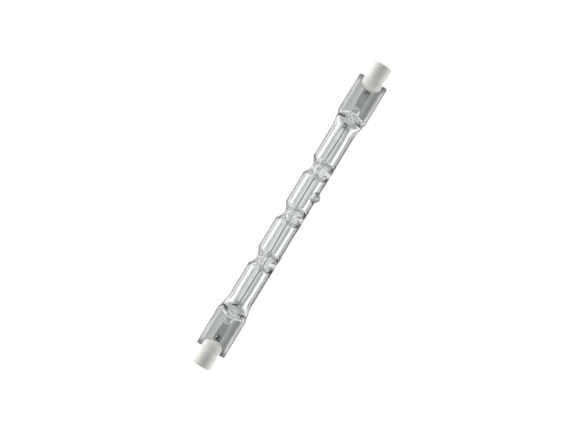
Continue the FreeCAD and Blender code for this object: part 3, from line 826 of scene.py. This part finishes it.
# Brightness of the tent by the angle from straight down, in degrees: a grey card under the lamp, a bright
# panel round it, a dark gap, and pale walls; the upper and the lower side of the lamp see different halves
TENT_UPPER = (
    (0, 0.9), (2, 0.8), (4, 0.63), (6, 0.44), (7.5, 0.9), (13, 0.9), (18, 1.0), (21, 0.04), (34, 0.1),
    (38, 0.72), (42, 1.15), (46, 1.0), (52, 0.6), (60, 1.35), (66, 1.6), (86, 1.6), (92, 0.26), (180, 0.26),
)
TENT_LOWER = (
    (0, 0.9), (2, 0.77), (4, 0.48), (6, 0.32), (8, 1.2), (12, 1.05), (15, 0.8), (18, 0.04), (42, 0.06),
    (46, 0.5), (50, 0.8), (56, 0.75), (62, 1.3), (66, 1.6), (86, 1.6), (92, 0.26), (180, 0.26),
)
TENT_PEAK = 2.0
TENT_STRETCH = 0.65

# How bright the softboxes are
UPPER_RADIANCE = 3.1
LOWER_RADIANCE = 1.7

# The picture's width in pixels and in metres on the table, its middle and the lamp's middle in pixels from
# its top left corner, and the lamp's lean from level
PICTURE_WIDTH = 581
FRAME_WIDTH = 0.1943
PICTURE_MIDDLE = (290.5, 218.0)
LAMP_MIDDLE = (292.0, 215.6)
LAMP_LEAN = math.radians(58.7)


def pale_floor():
    """A plain white table, lit through from below as well as from the sides.

    The camera and soft light see it. Rays that glass and metal bend or mirror see the tent instead."""
    place_free()
    bpy.ops.mesh.primitive_plane_add(size=4, location=(0, 0, FLOOR))
    floor = named("pale_floor")
    material = shader(
        "white_table", Base_Color=linear("#E8E8E8"), Roughness=0.9, Emission_Color=(1, 1, 1, 1),
        Emission_Strength=0.9,
    )
    floor.data.materials.append(material)
    floor.visible_transmission = floor.visible_glossy = False


def softbox(name, side, radiance):
    """A long softbox beside the lamp, low over the table and turned towards it."""
    distance, height = 0.4, 0.09
    length, breadth = 1.1, 0.19
    bpy.ops.object.light_add(type="AREA", location=(0, side * distance, FLOOR + height))
    lamp = bpy.context.object
    lamp.name = name
    lamp.data.shape = "RECTANGLE"
    lamp.data.size, lamp.data.size_y = length, breadth
    lamp.data.energy = radiance * math.pi * length * breadth
    lamp.rotation_euler = Vector((0, -side * distance, -height)).to_track_quat("-Z", "Y").to_euler()
    lamp.visible_camera = False


def overhead_camera():
    """Straight above, turned so that the lamp leans as in the photograph."""
    lens, sensor = 100, 36
    pixel = FRAME_WIDTH / PICTURE_WIDTH
    right = (LAMP_MIDDLE[0] - PICTURE_MIDDLE[0]) * pixel
    up = (PICTURE_MIDDLE[1] - LAMP_MIDDLE[1]) * pixel
    centre = Matrix.Rotation(-LAMP_LEAN, 4, "Z") @ Vector((-right, -up, 0))
    bpy.ops.object.camera_add(location=centre + Vector((0, 0, FRAME_WIDTH * lens / sensor)))
    camera = bpy.context.object
    camera.rotation_euler = (0, 0, -LAMP_LEAN)
    camera.data.lens, camera.data.sensor_width = lens, sensor
    camera.data.clip_start, camera.data.clip_end = 0.01, 20
    bpy.context.scene.camera = camera


def surroundings():
    """A light tent round the lamp, which the glass and the metal mirror and bend."""
    world = bpy.data.worlds.new("light_tent")
    bpy.context.scene.world = world
    world.use_nodes = True
    ray = add(world, "TexCoord")["Generated"]
    way = add(world, "SeparateXYZ", {"Vector": ray})
    along = add(world, "Math", {0: way["X"], 1: TENT_STRETCH}, operation="MULTIPLY")[0]
    down = add(world, "Math", {0: way["Z"], 1: -1.0}, operation="MULTIPLY")[0]
    flat = add(world, "CombineXYZ", {"X": along, "Y": way["Y"]})[0]
    out = add(world, "VectorMath", {0: flat}, operation="LENGTH")["Value"]
    angle = add(world, "Math", {0: out, 1: down}, operation="ARCTAN2")[0]
    lean = add(world, "MapRange", {0: angle, 1: 0.0, 2: math.pi})[0]
    halves = []
    for levels in (TENT_LOWER, TENT_UPPER):
        half = add(world, "ValToRGB", {"Fac": lean})["Color"]
        stops = half.node.color_ramp.elements
        for i, (degrees, level) in enumerate(levels):
            stop = stops[i] if i < 2 else stops.new(degrees / 180)
            stop.position = degrees / 180
            stop.color = (level / TENT_PEAK,) * 3 + (1,)
        halves.append(half)
    side = add(world, "Math", {0: way["Y"], 1: out}, operation="DIVIDE")[0]
    share = add(world, "MapRange", {0: side, 1: -1.0, 2: 1.0})[0]
    both = add(world, "Mix", {0: share, 6: halves[0], 7: halves[1]}, data_type="RGBA")[2]
    background = world.node_tree.nodes["Background"]
    world.node_tree.links.new(both, background.inputs["Color"])
    background.inputs["Strength"].default_value = TENT_PEAK
    bpy.context.scene.view_settings.view_transform = "Standard"


quartz = clear_quartz()
tungsten = drawn_tungsten()
molybdenum = etched_molybdenum()
steatite = fired_steatite()
cement = set_cement()
nickel = plated_nickel()
bright = bright_molybdenum()
oxidised = oxidised_molybdenum()

blown_envelope(quartz)
filament_winding(tungsten)
coil_legs(tungsten)
foil_welds(bright, oxidised)
steatite_cap(steatite)
cement_collar(cement)
for node, finish in (
    ("inner_lead", bright),
    ("seal_foil", molybdenum),
    ("outer_lead", oxidised),
    ("cap_cement", cement),
    ("contact", nickel),
):
    for end in ("left", "right"):
        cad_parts[f"{node}_{end}"].data.materials.clear()
        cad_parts[f"{node}_{end}"].data.materials.append(finish)

pale_floor()
softbox("upper_softbox", 1, UPPER_RADIANCE)
softbox("lower_softbox", -1, LOWER_RADIANCE)
overhead_camera()
surroundings()
